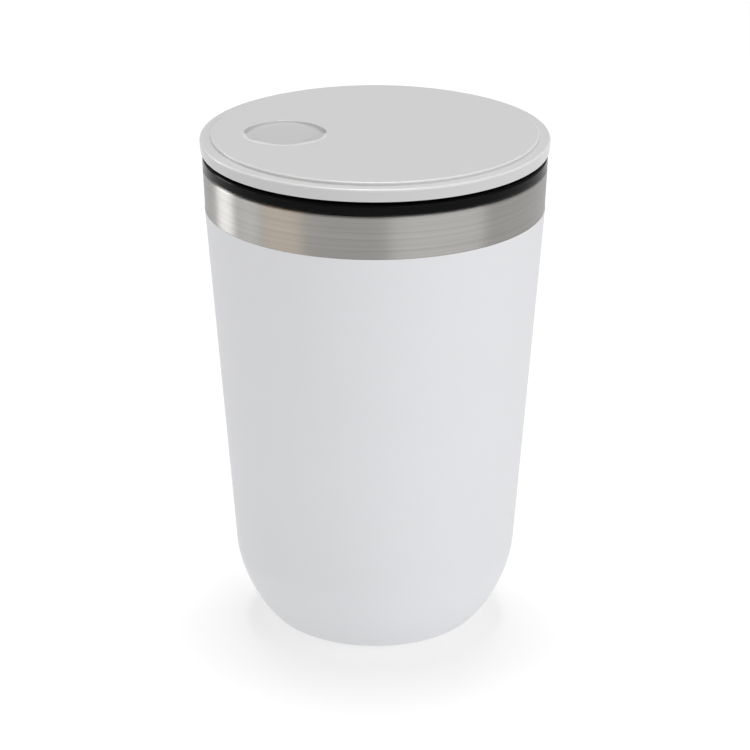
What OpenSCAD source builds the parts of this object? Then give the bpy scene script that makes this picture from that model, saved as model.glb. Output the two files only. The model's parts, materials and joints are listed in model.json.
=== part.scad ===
// Double-wall drinks tumbler: steel cup with a powder-coated body, a plug lid and a grey
// cover that turns a quarter turn to lower a round valve, so that the drink comes out
// anywhere round the rim.
// Origin: centre of the foot on the table. +Z up, the finger dish towards -X, the front -Y.

/* [Cup outside] */
// radius of the coated body at the coat's top edge
body_top_r = 41.9; // [35:0.1:50]
// height of the coat's top edge, where the bare band starts
coat_top_z = 110; // [80:0.5:150]
// taper of the body from the upright, degrees
taper = 4.4; // [0:0.1:8]
// large radius at the bottom of the body
heel_big_r = 30; // [15:0.5:40]
// small radius that runs into the flat foot
heel_small_r = 8; // [3:0.5:14]
// height of the flat underside over the table
foot_clear = 0.4; // [0.2:0.1:1.5]
// outside radius at the top of the bare steel band
band_top_r = 42.25; // [35:0.05:50]
// height of the rim
rim_z = 120.7; // [90:0.1:160]
// outside radius of the rolled rim
rim_roll_r = 0.9; // [0.7:0.1:2]

/* [Cup walls] */
// sheet thickness of the outer shell
shell_t = 0.5; // [0.3:0.05:0.8]
// sheet thickness of the liner
liner_t = 0.45; // [0.3:0.05:0.8]
// thickness of the powder coat
coat_t = 0.15; // [0.08:0.01:0.3]
// width from the body's outside to the liner's inside
wall_total = 3.5; // [2.5:0.1:6]
// inside radius of the straight neck that the plug fits
neck_r = 38.9; // [30:0.1:46]
// height of the neck's lower end
neck_z = 104; // [80:0.5:130]
// height of the drink space's floor
liner_floor_z = 8; // [5:0.5:14]
// inside radius of the foot's turned-up edge
foot_in_r = 17.4; // [12:0.1:20]
// height of the recessed base disc's underside
base_disc_z = 2; // [1:0.1:4]

/* [Lid base] */
// outside radius of the glossy collar
collar_r = 42.35; // [36:0.05:50]
// height of the collar's underside
collar_z = 121; // [90:0.1:160]
// height of the collar's top face
collar_top_z = 123.55; // [92:0.05:164]
// outside radius of the plug
plug_r = 37.6; // [30:0.1:46]
// inside radius of the plug's bowl
bowl_r = 34.8; // [28:0.1:44]
// height of the bowl's underside
bowl_z = 103; // [80:0.5:130]
// radius of the valve seat's bore
seat_r = 20; // [12:0.5:28]
// height of the seat's lower edge
seat_z = 101.5; // [80:0.5:130]
// outside radius of the hub
hub_r = 10.2; // [8:0.1:14]
// radius of the hub's bore
hub_bore_r = 8.06; // [6:0.01:10]
// height of the hub's lower end
hub_z = 108; // [90:0.5:130]
// height of the hub's upper end
hub_top_z = 122.4; // [95:0.1:140]

/* [Cover] */
// outside radius of the cover at its widest
cover_r = 43; // [36:0.1:52]
// radius of the raised middle
plateau_r = 40.2; // [30:0.1:48]
// height of the raised middle's top face
plateau_z = 128.6; // [100:0.1:170]
// height of the outer ring's top face
ring_z = 127.7; // [100:0.1:169]
// height of the skirt's lower edge
skirt_z = 124.4; // [95:0.1:165]
// thickness of the cover's top
cover_t = 1.8; // [1:0.1:3]
// distance of the finger dish from the axis
dish_x = 22; // [14:0.1:28]
// how far the finger dish sits towards the front
dish_y = 1; // [0:0.1:4]
// radius of the finger dish's floor
dish_r = 9.85; // [7:0.05:12]
// depth of the finger dish at its middle
dish_depth = 1.7; // [1:0.1:3]
// slope of the finger dish's floor, down towards the front, degrees
dish_tilt = 6; // [0:0.5:10]
// draft of the finger dish's wall, degrees
dish_draft = 12; // [4:1:30]
// radius where the dish's soft front ramp starts
ramp_r = 11.6; // [10:0.1:13]
// rounding of the ramp's top
ramp_round = 14; // [4:0.5:20]
// slope of the ramp's straight part, degrees
ramp_slope = 25; // [15:1:40]

/* [Turning valve] */
// radius of the cam tube
cam_r = 8; // [6:0.1:10]
// radius of the cam tube's bore
cam_bore_r = 5.02; // [4:0.01:7]
// radius of the valve stem
stem_r = 4.95; // [3:0.01:6]
// radius of the cross pin
pin_r = 0.9; // [0.6:0.05:1.5]
// height of the cross pin with the valve shut
pin_z = 117.5; // [100:0.1:140]
// distance that the valve drops when it opens
valve_drop = 3.2; // [2:0.1:5]
// angle that the cover turns to open the valve
cover_turn = 90; // [60:5:120]
// distance of the cover's screws from the axis
screw_x = 22; // [16:0.5:26]

/* [Output] */
// which piece to draw

/* [Hidden] */
$fn = 96;
e = 0.01;

steel = [0.72, 0.72, 0.70];
white = [0.93, 0.93, 0.91];
black = [0.03, 0.03, 0.03];
grey = [0.80, 0.80, 0.79];
rubber_grey = [0.35, 0.35, 0.35];

// Points of an arc about (cx, cz), from angle a0 to a1 in n steps.
function arc(cx, cz, r, a0, a1, n) =
    [for (i = [0 : n]) let (a = a0 + (a1 - a0) * i / n) [cx + r * cos(a), cz + r * sin(a)]];

// The list in reverse order.
function flip(v) = [for (i = [len(v) - 1 : -1 : 0]) v[i]];

// Side of a tapered cup from the edge of its flat bottom up to the point (rt, zt):
// a small arc, a large arc, then the straight taper.
function cup_side(rt, zt, ra, rb, z0) =
    let (zb = z0 + rb,
         za = zb + (ra - rb) * sin(45),
         xa = rt - (ra + (zt - za) * sin(taper)) / cos(taper),
         xb = xa + (ra - rb) * cos(45))
    concat(arc(xb, zb, rb, -90, -45, 8),
           [for (p = arc(xa, za, ra, -45, -taper, 12)) if (p[1] > zb - rb * sin(45) + e) p],
           [[rt, zt]]);

// Radius at the top of the body's taper for a surface d inside the coated body.
function body_in(d) = body_top_r - d / cos(taper);

// The outer shell's two faces and the coat's outer face, bottom to coat edge.
coat_face = cup_side(body_top_r, coat_top_z, heel_big_r, heel_small_r, foot_clear);
shell_face = cup_side(body_in(coat_t), coat_top_z, heel_big_r - coat_t,
                      heel_small_r - coat_t, foot_clear + coat_t);
shell_in = cup_side(body_in(coat_t + shell_t), coat_top_z, heel_big_r - coat_t - shell_t,
                    heel_small_r - coat_t - shell_t, foot_clear + coat_t + shell_t);

// Height of the weld where the rolled rim meets the liner.
weld_z = rim_z - 1.7;

// The liner's faces, drink side and vacuum side.
liner_low_z = neck_z - 1.5;
liner_rt = body_in(wall_total) - (coat_top_z - liner_low_z) * tan(taper);
liner_face = cup_side(liner_rt, liner_low_z, heel_big_r - 4, heel_small_r + 2, liner_floor_z);
liner_out = cup_side(liner_rt + liner_t, liner_low_z, heel_big_r - 4 + liner_t,
                     heel_small_r + 2 + liner_t, liner_floor_z - liner_t);

// The pin's lower limit, the carrier's plate and the cam tube's lower end.
pin_low_z = pin_z - valve_drop;
plate_z = hub_top_z + 1.2;
plate_t = plateau_z - cover_t - 1.6 - plate_z;
cam_end_z = hub_z - 1.6;

module ring(r_out, r_in, z0, z1) {
    difference() {
        translate([0, 0, z0])
            cylinder(r = r_out, h = z1 - z0);
        translate([0, 0, z0 - 1])
            cylinder(r = r_in, h = z1 - z0 + 2);
    }
}

// Steel outer shell: foot, tapered wall, band and rolled rim.
module outer_wall() {
    lip_r = band_top_r - rim_roll_r;
    lip_z = rim_z - rim_roll_r;
    color(steel)
        rotate_extrude()
            polygon(concat(
                [[foot_in_r, foot_clear + coat_t]],
                shell_face,
                [[body_top_r - 0.1, coat_top_z + e]],
                arc(lip_r, lip_z, rim_roll_r, 0, 90, 8),
                arc(neck_r + 0.9, rim_z - 0.9, 0.9, 90, 180, 6),
                [[neck_r, weld_z],
                 [neck_r + liner_t, weld_z]],
                flip(arc(neck_r + 0.9, rim_z - 0.9, 0.9 - liner_t, 90, 180, 6)),
                flip(arc(lip_r, lip_z, rim_roll_r - shell_t, 0, 90, 8)),
                [[body_top_r - 0.1 - shell_t, coat_top_z]],
                flip(shell_in),
                [[foot_in_r + shell_t, foot_clear + coat_t + shell_t],
                 [foot_in_r + shell_t, base_disc_z + 0.9],
                 [foot_in_r, base_disc_z + 0.9]]));
}

// Powder coat: a thin skin on the shell, masked off below the band.
module powder_coat() {
    color(white)
        rotate_extrude()
            polygon(concat(
                [[foot_in_r + 0.6, foot_clear]],
                coat_face,
                flip(shell_face),
                [[foot_in_r + 0.6, foot_clear + coat_t]]));
}

// Steel liner with the straight neck for the plug.
module inner_wall() {
    color(steel)
        rotate_extrude()
            polygon(concat(
                [[0, liner_floor_z]],
                liner_face,
                [[neck_r, neck_z],
                 [neck_r, weld_z],
                 [neck_r + liner_t, weld_z],
                 [neck_r + liner_t, neck_z - 0.2]],
                flip(liner_out),
                [[0, liner_floor_z - liner_t]]));
}

// Recessed disc that closes the foot, with a dimple for the pump-out hole.
module base_disc() {
    t = 0.6;
    color(steel)
        rotate_extrude()
            polygon([
                [0.8, base_disc_z + 1],
                [2.6, base_disc_z + 1],
                [3.4, base_disc_z],
                [foot_in_r, base_disc_z],
                [foot_in_r, base_disc_z + t],
                [4, base_disc_z + t],
                [3, base_disc_z + 1 + t],
                [0.8, base_disc_z + 1 + t]]);
}

// Bead that closes the pump-out hole.
module evacuation_seal() {
    color(rubber_grey)
        rotate_extrude()
            polygon([
                [0, base_disc_z + 0.3],
                [1.5, base_disc_z + 0.45],
                [2.1, base_disc_z + 1],
                [0.8, base_disc_z + 1],
                [0.8, base_disc_z + 1.7],
                [0, base_disc_z + 1.7]]);
}

// Pan on the base disc that holds the getter.
module getter_holder() {
    color(steel)
        translate([9.5, 0, base_disc_z + 0.6])
            difference() {
                cylinder(r = 4, h = 2.2);
                translate([0, 0, 0.4])
                    cylinder(r = 3.5, h = 3);
            }
}

// Getter pellet in its pan.
module getter_pellet() {
    color(rubber_grey)
        translate([9.5, 0, base_disc_z + 1])
            cylinder(r = 3.4, h = 1.5);
}

// Silicone pad under the foot, with three shallow ring grooves.
module foot_pad() {
    r = foot_in_r - 0.2;
    color(rubber_grey)
        rotate_extrude()
            polygon(concat(
                [[6.4, base_disc_z],
                 [6.4, 0.4],
                 [6.8, 0]],
                [for (k = [0 : 2])
                    each [[9 + 2.4 * k, 0],
                          [9.2 + 2.4 * k, 0.4],
                          [9.8 + 2.4 * k, 0.4],
                          [10 + 2.4 * k, 0]]],
                [[r - 0.4, 0],
                 [r, 0.4],
                 [r, base_disc_z]]));
}

// Plug lid body: collar, plug, bowl and seat, with the ribs and hub.
module lid_base() {
    color(black) {
        rotate_extrude()
            polygon(concat(
                [[plug_r, collar_z],
                 [collar_r - 0.35, collar_z]],
                arc(collar_r - 0.35, collar_z + 0.35, 0.35, -90, 0, 4),
                arc(collar_r - 0.6, collar_top_z - 0.6, 0.6, 0, 90, 6),
                [[bowl_r + 3.4, collar_top_z]],
                arc(bowl_r + 3.4, collar_top_z - 3.4, 3.4, 90, 180, 8),
                [[bowl_r, bowl_z + 3.6],
                 [bowl_r - 1.2, bowl_z + 2.6],
                 [seat_r + 0.4, bowl_z + 2],
                 [seat_r, bowl_z + 1.6],
                 [seat_r, seat_z],
                 [seat_r + 1.2, seat_z],
                 [seat_r + 2, seat_z + 1.2],
                 [seat_r + 2, bowl_z],
                 [plug_r - 1, bowl_z],
                 [plug_r, bowl_z + 1],
                 [plug_r, bowl_z + 8],
                 [plug_r - 1.4, bowl_z + 8],
                 [plug_r - 1.4, bowl_z + 12],
                 [plug_r, bowl_z + 12]]));
        for (a = [0, 120, 240])
            rotate([0, 0, a]) {
                translate([hub_r - 0.6, -1.5, hub_z])
                    cube([seat_r + 4 - hub_r + 0.6, 3, 3]);
                translate([seat_r + 0.6, -1.5, bowl_z + 1.5])
                    cube([3.4, 3, hub_z + 3 - bowl_z - 1.5]);
            }
        difference() {
            ring(hub_r, hub_bore_r, hub_z, hub_top_z);
            translate([-pin_r - 0.06, -hub_r - 1, pin_low_z])
                cube([2 * pin_r + 0.12, 2 * hub_r + 2, valve_drop]);
            for (z = [pin_low_z, pin_z])
                translate([0, hub_r + 1, z])
                    rotate([90, 0, 0])
                        cylinder(r = pin_r + 0.06, h = 2 * hub_r + 2);
        }
    }
}

// Silicone seal round the plug, with two upward lips.
module plug_seal() {
    r = plug_r - 1.4;
    z = bowl_z + 8;
    color(rubber_grey)
        rotate_extrude()
            polygon([
                [r, z],
                [plug_r + 0.1, z],
                [plug_r + 0.1, z + 0.5],
                [neck_r - 0.3, z + 1.5],
                [neck_r - 0.3, z + 1.8],
                [plug_r + 0.1, z + 1.4],
                [plug_r + 0.1, z + 2.1],
                [neck_r - 0.3, z + 3.1],
                [neck_r - 0.3, z + 3.4],
                [plug_r + 0.1, z + 3],
                [plug_r + 0.1, z + 4],
                [r, z + 4]]);
}

// Washer that the cam carrier turns on.
module thrust_washer() {
    color(white)
        ring(hub_r, cam_r + 0.3, hub_top_z, plate_z - 0.3);
}

// Profile of the dish's soft front ramp, down from the crown (height 0).
function ramp() = [for (a = [0 : ramp_slope / 5 : ramp_slope])
    [ramp_r - ramp_round * sin(a), ramp_round * (cos(a) - 1)]];
ramp_foot = ramp_r - ramp_round * sin(ramp_slope)
    - (dish_depth - ramp_round * (1 - cos(ramp_slope))) / tan(ramp_slope);

// The finger dish: a tilted cone at the back and a soft ramp at the front.
module dish() {
    translate([-dish_x, -dish_y, plateau_z - dish_depth]) {
        intersection() {
            rotate([dish_tilt, 0, 0])
                cylinder(r1 = dish_r, r2 = dish_r + 8 * tan(dish_draft), h = 8);
            translate([-20, 0, -2])
                cube([40, 20, 12]);
        }
        intersection() {
            translate([0, 0, dish_depth])
                rotate_extrude()
                    polygon(concat(
                        [[0, 3], [0, -dish_depth], [ramp_foot, -dish_depth]],
                        flip(ramp()),
                        [[ramp_r, 3]]));
            translate([-20, -20, -2])
                cube([40, 20 + e, 12]);
        }
    }
}

// The wall under the dish.
module dish_wall() {
    t = 1.5;
    translate([-dish_x, -dish_y, plateau_z - dish_depth]) {
        intersection() {
            rotate([dish_tilt, 0, 0])
                translate([0, 0, -t])
                    cylinder(r = dish_r + t, h = dish_depth);
            translate([-20, 0, -4])
                cube([40, 20, dish_depth + 3.5]);
        }
        intersection() {
            translate([0, 0, -t])
                cylinder(r1 = ramp_foot + 0.6, r2 = ramp_r, h = dish_depth - 0.1);
            translate([-20, -20, -4])
                cube([40, 20 + e, 12]);
        }
    }
}

// Grey cover: raised middle, lower outer ring, skirt, finger dish and three bosses.
module lid_cover() {
    under = plateau_z - cover_t;
    color(grey)
        difference() {
            union() {
                rotate_extrude()
                    polygon(concat(
                        [[0, plateau_z]],
                        [[plateau_r - 0.5, plateau_z]],
                        arc(plateau_r - 0.5, plateau_z - 0.5, 0.5, 75, 0, 5),
                        [[plateau_r, ring_z]],
                        arc(cover_r - 0.6, ring_z - 0.6, 0.6, 90, 0, 6),
                        [[cover_r - 0.3, skirt_z + 0.6]],
                        arc(cover_r - 0.9, skirt_z + 0.6, 0.6, 0, -90, 5),
                        [[cover_r - 1.8, skirt_z],
                         [cover_r - 1.8, skirt_z + 1.2],
                         [plateau_r - 0.4, under],
                         [0, under]]));
                dish_wall();
                for (a = [0, 120, 240])
                    rotate([0, 0, a])
                        translate([screw_x, 0, plate_z + plate_t])
                            cylinder(r = 3, h = under - plate_z - plate_t + e);
            }
            dish();
            for (a = [0, 120, 240])
                rotate([0, 0, a])
                    translate([screw_x, 0, plate_z])
                        cylinder(r = 1.1, h = under + 0.6 - plate_z);
        }
}

// One of the straight pieces of the cam slot: the pin's path from step i to the next.
module cam_step(i, n) {
    hull()
        for (k = [i, i + 1])
            rotate([0, 0, -cover_turn * k / n])
                translate([0, cam_r + 1, pin_z - valve_drop * k / n])
                    rotate([90, 0, 0])
                        cylinder(r = pin_r + 0.08, h = 2 * cam_r + 2, $fn = 32);
}

// Three-armed plate under the cover with the tubular cam.
module cam_carrier() {
    n = 6;
    color(black)
        difference() {
            union() {
                translate([0, 0, cam_end_z])
                    cylinder(r = cam_r, h = plate_z - cam_end_z + e);
                translate([0, 0, plate_z])
                    cylinder(r = 10.4, h = plate_t);
                for (a = [0, 120, 240])
                    rotate([0, 0, a]) {
                        translate([0, -4, plate_z])
                            cube([screw_x, 8, plate_t]);
                        translate([screw_x, 0, plate_z])
                            cylinder(r = 4, h = plate_t);
                    }
            }
            translate([0, 0, cam_end_z - 1])
                cylinder(r = cam_bore_r, h = plate_z - cam_end_z + 0.6);
            for (a = [0, 120, 240])
                rotate([0, 0, a])
                    translate([screw_x, 0, plate_z - 1])
                        cylinder(r = 1.1, h = plate_t + 2);
            ring(cam_r + 2, cam_r - 0.8, hub_z - 1, hub_z - 0.3);
            for (i = [0 : n - 1])
                cam_step(i, n);
        }
}

// Pan-head screw up through the carrier into the cover, at angle a.
module cover_screw(a) {
    color(steel)
        rotate([0, 0, a])
            translate([screw_x, 0, plate_z])
                difference() {
                    union() {
                        translate([0, 0, -1.2])
                            cylinder(r = 2.2, h = 1.2);
                        cylinder(r = 1.1, h = plate_t + 2);
                    }
                    translate([-1.3, -0.3, -1.3])
                        cube([2.6, 0.6, 0.8]);
                    translate([-0.3, -1.3, -1.3])
                        cube([0.6, 2.6, 0.8]);
                }
}

module cover_screw_a() {
    cover_screw(0);
}

module cover_screw_b() {
    cover_screw(120);
}

module cover_screw_c() {
    cover_screw(240);
}

// Split ring in the cam tube's groove, under the hub.
module retaining_ring() {
    color(steel)
        difference() {
            ring(cam_r + 1.6, cam_r - 0.8, hub_z - 1, hub_z - 0.3);
            translate([0, -1.2, hub_z - 2])
                cube([cam_r + 4, 2.4, 4]);
        }
}

// Stem with its foot flange, O-ring groove and pin hole.
module valve_stem() {
    top = pin_z + 3;
    foot = bowl_z + 0.4;
    color(white)
        difference() {
            union() {
                rotate_extrude()
                    polygon([
                        [0, foot],
                        [8, foot],
                        [8, foot + 1],
                        [7.6, foot + 1.2],
                        [stem_r, foot + 1.2],
                        [stem_r, foot + 7.2],
                        [4.22, foot + 7.2],
                        [4.22, foot + 8.8],
                        [stem_r, foot + 8.8],
                        [stem_r, top - 0.6],
                        [stem_r - 0.6, top],
                        [0, top]]);
            }
            translate([0, 0, foot - 1])
                cylinder(r = 1.5, h = 9);
            translate([0, 10, pin_z])
                rotate([90, 0, 0])
                    cylinder(r = pin_r, h = 20);
        }
}

// Steel pin through the stem, the cam tube's slots and the hub's slots.
module cross_pin() {
    color(steel)
        translate([0, hub_r - 0.3, pin_z])
            rotate([90, 0, 0])
                cylinder(r = pin_r, h = 2 * hub_r - 0.6);
}

// O-ring that keeps the drink out of the cam.
module stem_oring() {
    color(black)
        translate([0, 0, bowl_z + 8.4])
            rotate_extrude()
                translate([4.6, 0])
                    circle(r = 0.38);
}

// Round valve disc with a groove in its edge.
module valve_disc() {
    z = bowl_z + 0.4;
    color(black)
        rotate_extrude()
            polygon([
                [1.7, z],
                [17.8, z],
                [18.6, z - 0.3],
                [17.2, z - 0.3],
                [17.2, z - 1.5],
                [18.6, z - 1.5],
                [18, z - 2.2],
                [5, z - 2.2],
                [4.4, z - 1.6],
                [1.7, z - 1.6]]);
}

// Silicone ring on the valve disc's edge, which fills the seat when shut.
module valve_seal() {
    z = bowl_z + 0.4;
    color(rubber_grey)
        rotate_extrude()
            polygon([
                [17.2, z - 0.3],
                [18.9, z - 0.3],
                [seat_r - 0.08, z - 0.7],
                [seat_r - 0.08, z - 1.1],
                [18.9, z - 1.5],
                [17.2, z - 1.5]]);
}

// Screw up through the valve disc into the stem.
module valve_screw() {
    z = bowl_z - 1.2;
    color(steel)
        difference() {
            union() {
                translate([0, 0, z - 1.4])
                    cylinder(r = 3.4, h = 1.4);
                translate([0, 0, z - e])
                    cylinder(r = 1.5, h = 8);
            }
            translate([-2, -0.4, z - 2])
                cube([4, 0.8, 1.4]);
            translate([-0.4, -2, z - 2])
                cube([0.8, 4, 1.4]);
        }
}

outer_wall();
powder_coat();
inner_wall();
base_disc();
evacuation_seal();
getter_holder();
getter_pellet();
foot_pad();
lid_base();
plug_seal();
thrust_washer();
lid_cover();
cam_carrier();
cover_screw_a();
cover_screw_b();
cover_screw_c();
retaining_ring();
valve_stem();
cross_pin();
stem_oring();
valve_disc();
valve_seal();
valve_screw();
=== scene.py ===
"""Double-wall travel tumbler: steel cup with a white coat, black plug lid and grey turning cover."""

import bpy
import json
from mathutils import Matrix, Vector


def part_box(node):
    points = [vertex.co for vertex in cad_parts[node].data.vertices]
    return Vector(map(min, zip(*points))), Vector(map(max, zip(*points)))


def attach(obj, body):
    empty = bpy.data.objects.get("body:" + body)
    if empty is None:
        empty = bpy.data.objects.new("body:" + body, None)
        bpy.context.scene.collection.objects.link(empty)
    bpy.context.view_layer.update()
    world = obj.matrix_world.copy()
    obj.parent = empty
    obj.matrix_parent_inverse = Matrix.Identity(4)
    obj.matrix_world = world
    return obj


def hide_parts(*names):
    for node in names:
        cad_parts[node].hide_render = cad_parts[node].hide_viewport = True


bl_info = {
    "name": "Travel Tumbler",
    "version": (1, 0, 0),
    "blender": (4, 5, 0),
    "location": "3D View > Sidebar > Tumbler",
    "description": "Builds a double-wall travel tumbler with a twist-open lid",
    "category": "Add Mesh",
}

import json
import math

import bmesh
import bpy
from bpy.props import FloatProperty, FloatVectorProperty, IntProperty, PointerProperty
from mathutils import Matrix, Vector

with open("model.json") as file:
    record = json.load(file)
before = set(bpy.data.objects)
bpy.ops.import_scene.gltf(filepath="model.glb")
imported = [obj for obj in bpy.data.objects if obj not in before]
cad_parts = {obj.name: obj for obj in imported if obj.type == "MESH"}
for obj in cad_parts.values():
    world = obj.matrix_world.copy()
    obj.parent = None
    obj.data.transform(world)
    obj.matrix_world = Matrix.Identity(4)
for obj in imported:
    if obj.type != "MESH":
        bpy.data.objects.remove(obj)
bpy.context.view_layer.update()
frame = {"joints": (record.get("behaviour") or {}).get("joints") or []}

MM = 0.001
CREASE = math.radians(38)
WELD = 0.0005 * MM


def low(node):
    """Height of a CAD node's lowest point."""
    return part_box(node)[0].z


def top(node):
    """Height of a CAD node's highest point."""
    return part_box(node)[1].z


def reach(node):
    """Largest radius of a CAD node that stands on the axis."""
    corner_low, corner_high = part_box(node)
    return round((corner_high.x - corner_low.x) / 2, 5)


def across(node):
    """X of a CAD node's middle."""
    corner_low, corner_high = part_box(node)
    return (corner_low.x + corner_high.x) / 2


# ---------------------------------------------------------------- sizes and colours


def length(name, description, default):
    return FloatProperty(
        name=name, description=description, default=default, min=0.0, unit="LENGTH", precision=5
    )


def angle(name, description, degrees):
    return FloatProperty(
        name=name, description=description, default=math.radians(degrees), subtype="ANGLE"
    )


def colour(name, description, default):
    return FloatVectorProperty(
        name=name, description=description, default=default, size=3, min=0.0, max=1.0,
        subtype="COLOR",
    )


class CupSizes(bpy.types.PropertyGroup):
    """Sizes of the steel cup and its coat"""

    body_top: length("Body radius", "Radius of the coated body at the coat's top edge", 41.9 * MM)
    taper: angle("Taper", "Slope of the body from the upright", 4.4)
    heel_big: length("Heel, large", "Large radius at the bottom of the body", 30 * MM)
    heel_small: length("Heel, small", "Small radius that runs into the flat foot", 8 * MM)
    band_top: length("Band radius", "Outside radius at the top of the bare band", 42.25 * MM)
    rim_roll: length("Rim roll", "Outside radius of the rolled rim", 0.6 * MM)
    sheet: length("Shell sheet", "Thickness of the outer shell", 0.5 * MM)
    liner_sheet: length("Liner sheet", "Thickness of the liner", 0.45 * MM)
    coat: length("Coat", "Thickness of the powder coat", 0.15 * MM)
    wall: length("Wall", "Width from the coated outside to the liner's inside", 3.5 * MM)
    neck: length("Neck radius", "Inside radius of the straight neck", 38.9 * MM)
    neck_foot: length("Neck height", "Height where the straight neck ends", 104 * MM)
    foot_hole: length("Foot hole", "Inside radius of the foot's turned-up edge", 17.4 * MM)


class LidSizes(bpy.types.PropertyGroup):
    """Sizes of the plug, the cover and the valve"""

    plug: length("Plug radius", "Outside radius of the plug", 37.6 * MM)
    bowl: length("Bowl radius", "Inside radius of the plug's bowl", 34.8 * MM)
    bowl_floor: length("Bowl underside", "Height of the bowl's underside", 103 * MM)
    seat: length("Seat radius", "Radius of the valve seat's bore", 20 * MM)
    hub: length("Hub radius", "Outside radius of the hub", 10.2 * MM)
    hub_bore: length("Hub bore", "Radius of the hub's bore", 8.06 * MM)
    plateau: length("Plateau radius", "Radius of the cover's raised middle", 40.2 * MM)
    step: length("Step", "Height of the raised middle over the outer ring", 0.9 * MM)
    cover_sheet: length("Cover thickness", "Thickness of the cover's top", 1.8 * MM)
    dish_away: length("Dish distance", "Distance of the finger dish from the axis", 22 * MM)
    dish_front: length("Dish offset", "How far the finger dish sits to the front", 1 * MM)
    dish: length("Dish radius", "Radius of the finger dish's floor", 9.85 * MM)
    dish_deep: length("Dish depth", "Depth of the finger dish at its middle", 1.7 * MM)
    dish_tilt: angle("Dish slope", "Slope of the dish's floor, down from the back", 6)
    dish_draft: angle("Dish draft", "Slope of the dish's wall from the upright", 12)
    lip_back: length("Dish lip, back", "Rounding of the finger dish's far edge", 0.2 * MM)
    ramp: length("Ramp radius", "Radius where the dish's soft front ramp starts", 11.6 * MM)
    ramp_round: length("Ramp rounding", "Rounding of the top of the dish's front ramp", 14 * MM)
    ramp_slope: angle("Ramp slope", "Slope of the dish's front ramp", 25)
    turns: IntProperty(name="Steps", description="Steps in a full turn", default=192, min=24)


class Finishes(bpy.types.PropertyGroup):
    """Colours of the object's finishes"""

    steel: colour("Steel", "Brushed steel of the band", (0.43, 0.42, 0.405))
    inside_steel: colour("Liner steel", "Satin steel inside the cup", (0.56, 0.555, 0.545))
    coat: colour("Coat", "White powder coat", (0.735, 0.74, 0.762))
    cover: colour("Cover", "Light grey of the cover", (0.58, 0.58, 0.58))
    collar: colour("Collar", "Glossy black of the plug and collar", (0.003, 0.003, 0.0032))
    silicone: colour("Silicone", "Grey of the seals", (0.46, 0.46, 0.455))
    acetal: colour("Acetal", "Off-white of the stem and the washer", (0.74, 0.73, 0.70))
    floor: colour("Floor", "Pale floor", (0.53, 0.53, 0.53))


class StageSizes(bpy.types.PropertyGroup):
    """Camera and lights"""

    distance: length("Distance", "From the camera to the middle of the cup", 900 * MM)
    elevation: angle("Elevation", "Height of the camera seen from the cup's middle", 21.41)
    middle: length("Middle", "Height on the axis that the distance is taken from", 60 * MM)
    aim: length("Aim", "Height on the axis at the centre of the view", 64.8 * MM)
    lens: FloatProperty(name="Lens", description="Focal length in mm", default=171.9, min=1.0)


# ---------------------------------------------------------------- materials


class Signal:
    """One output of a node; Python's operators on it add Math nodes."""

    def __init__(self, skin, socket):
        self.skin = skin
        self.socket = socket

    def maths(self, operation, first, second, clamped=False):
        settings = {"operation": operation, "use_clamp": clamped}
        return self.skin.node("Math", settings, {0: first, 1: second})

    def __add__(self, other):
        return self.maths("ADD", self, other)

    __radd__ = __add__

    def __sub__(self, other):
        return self.maths("SUBTRACT", self, other)

    def __rsub__(self, other):
        return self.maths("SUBTRACT", other, self)

    def __mul__(self, other):
        return self.maths("MULTIPLY", self, other)

    __rmul__ = __mul__

    def clamp(self):
        return self.maths("ADD", self, 0.0, clamped=True)


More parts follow.
